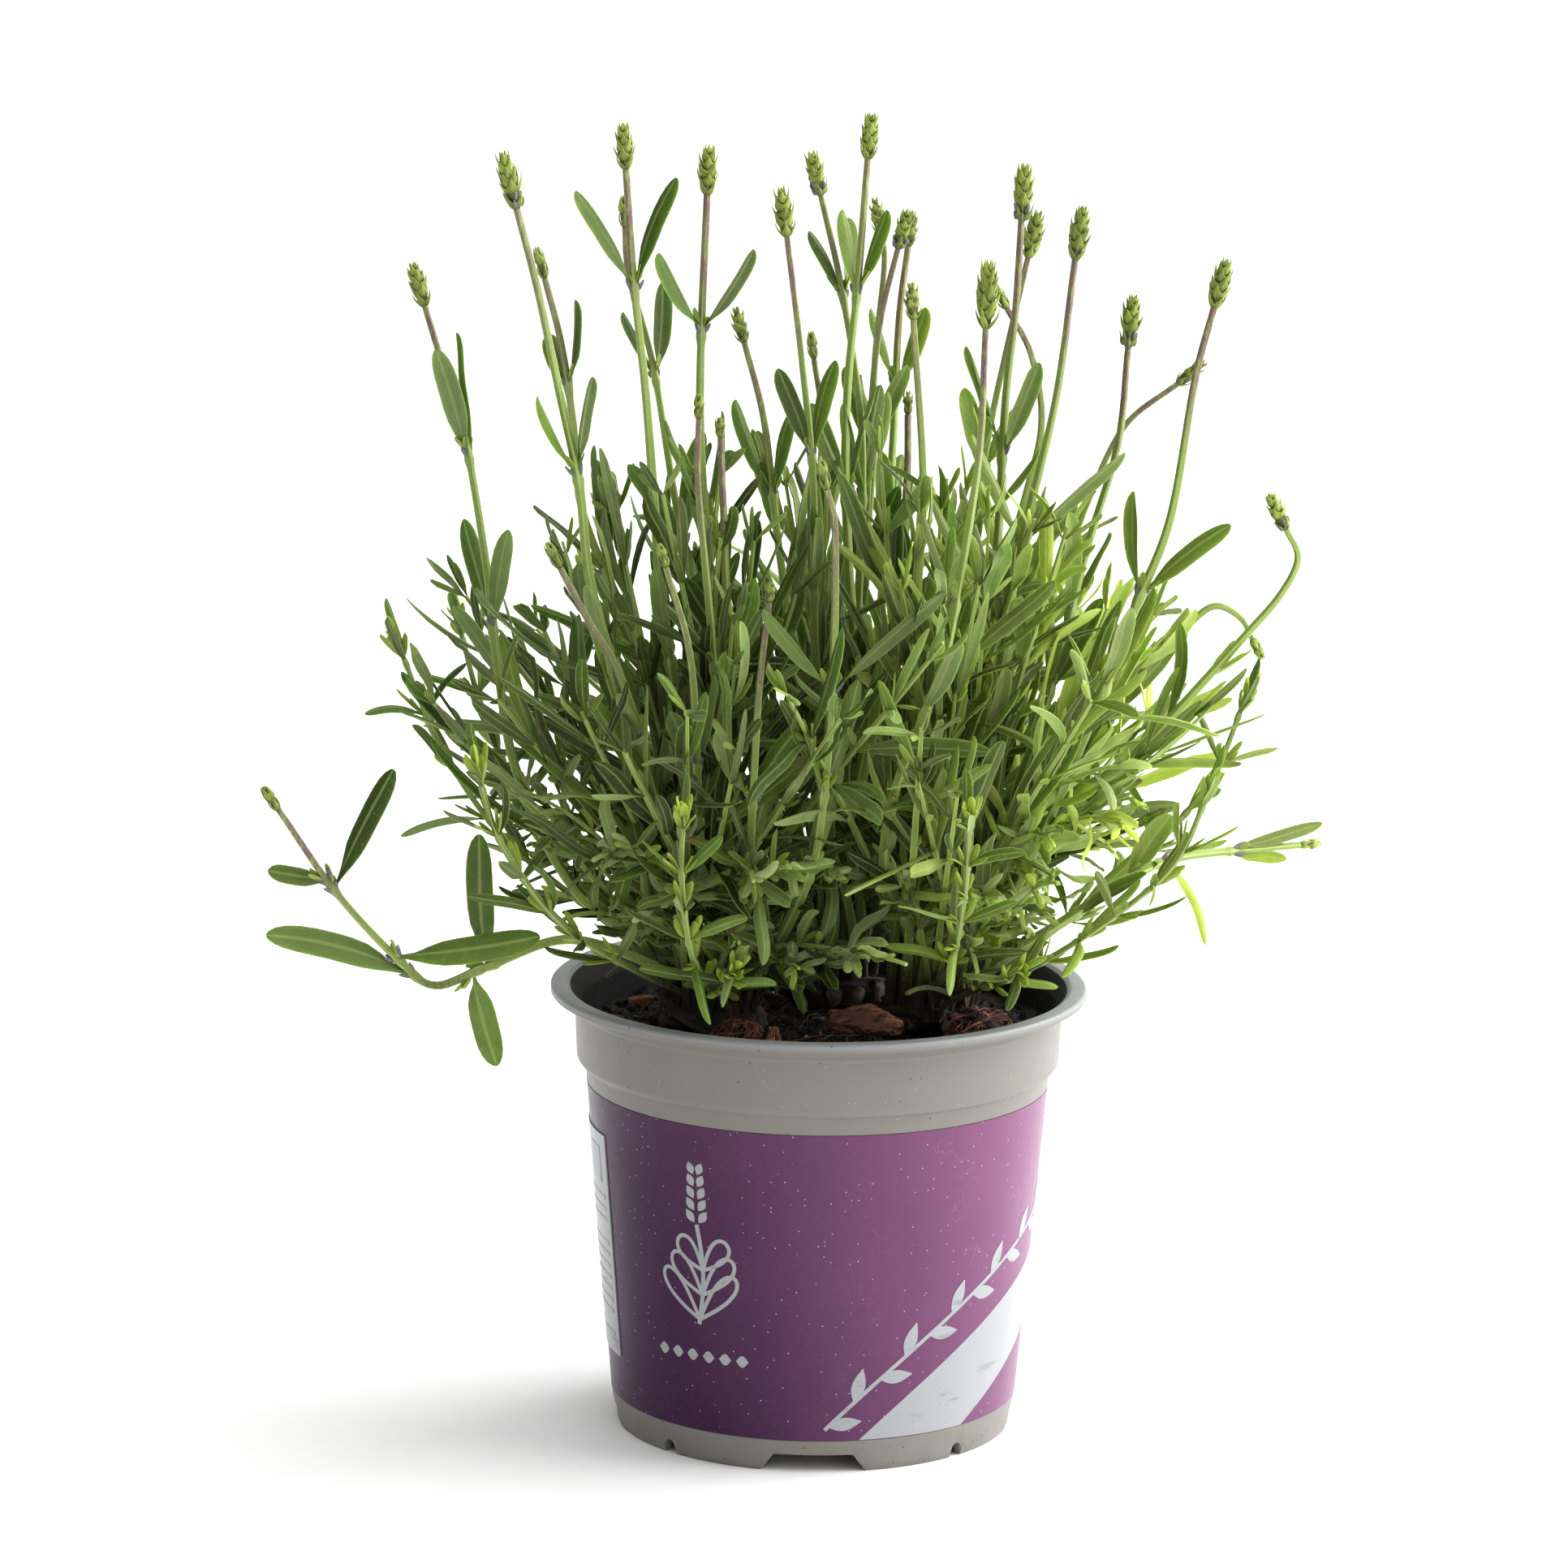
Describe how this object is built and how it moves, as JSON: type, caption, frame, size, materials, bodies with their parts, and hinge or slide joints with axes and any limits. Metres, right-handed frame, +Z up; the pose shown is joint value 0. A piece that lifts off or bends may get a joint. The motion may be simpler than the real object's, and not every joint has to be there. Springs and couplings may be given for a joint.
{
  "type": "potted lavender",
  "caption": "Young lavender in a round moulded nursery pot: slender flower stems with green spikes over a dense bush of narrow leaves, soil, and a purple film label",
  "frame": {"origin": "on the pot's axis at the level of its foot, the middle of the overall box in x and y to within a few millimetres", "axes": "+Z up along the pot's axis, +X to the right as the label's front is seen, -Y towards the viewer"},
  "size_m": [0.2622, 0.2156, 0.3185],
  "materials": {
    "pot_plastic": "satin",
    "label_film": "satin",
    "panel_paper": "satin",
    "peat_soil": "matte",
    "crown_wood": "matte",
    "root_fibre": "matte",
    "bark": "matte",
    "stem_green": "matte",
    "leaf_green": "matte"
  },
  "bodies": {
    "root": {"pot": "pot_plastic", "pot_label": "label_film", "care_panel": "panel_paper", "potting_soil": "peat_soil", "crown_left": "crown_wood", "crown_right": "crown_wood", "crown_back": "crown_wood", "root_tangle_left": "root_fibre", "root_tangle_right": "root_fibre", "bark_chip": "bark", "bark_crumb": "bark", "flower_stem_01": "stem_green", "flower_stem_02": "stem_green", "flower_stem_03": "stem_green", "flower_stem_04": "stem_green", "flower_stem_05": "stem_green", "flower_stem_06": "stem_green", "flower_stem_07": "stem_green", "flower_stem_08": "stem_green", "flower_stem_09": "stem_green", "flower_stem_10": "stem_green", "flower_stem_11": "stem_green", "flower_stem_12": "stem_green", "flower_stem_13": "stem_green", "flower_stem_14": "stem_green", "flower_stem_15": "stem_green", "flower_stem_16": "stem_green", "flower_stem_17": "stem_green", "flower_stem_18": "stem_green", "flower_stem_19": "stem_green", "flower_stem_20": "stem_green", "flower_stem_21": "stem_green", "flower_stem_22": "stem_green", "flower_stem_23": "stem_green", "flower_stem_24": "stem_green", "flower_stem_25": "stem_green", "flower_stem_26": "stem_green", "flower_stem_27": "stem_green", "flower_stem_28": "stem_green", "flower_stem_29": "stem_green", "flower_stem_30": "stem_green", "flower_stem_31": "stem_green", "flower_stem_32": "stem_green", "flower_stem_33": "stem_green", "flower_stem_34": "stem_green", "leafy_shoot_01": "leaf_green", "leafy_shoot_02": "leaf_green", "leafy_shoot_03": "leaf_green", "leafy_shoot_04": "leaf_green", "leafy_shoot_05": "leaf_green", "leafy_shoot_06": "leaf_green", "leafy_shoot_07": "leaf_green", "leafy_shoot_08": "leaf_green", "leafy_shoot_09": "leaf_green", "leafy_shoot_10": "leaf_green", "leafy_shoot_11": "leaf_green", "leafy_shoot_12": "leaf_green", "leafy_shoot_13": "leaf_green", "leafy_shoot_14": "leaf_green"}
  },
  "joints": []
}
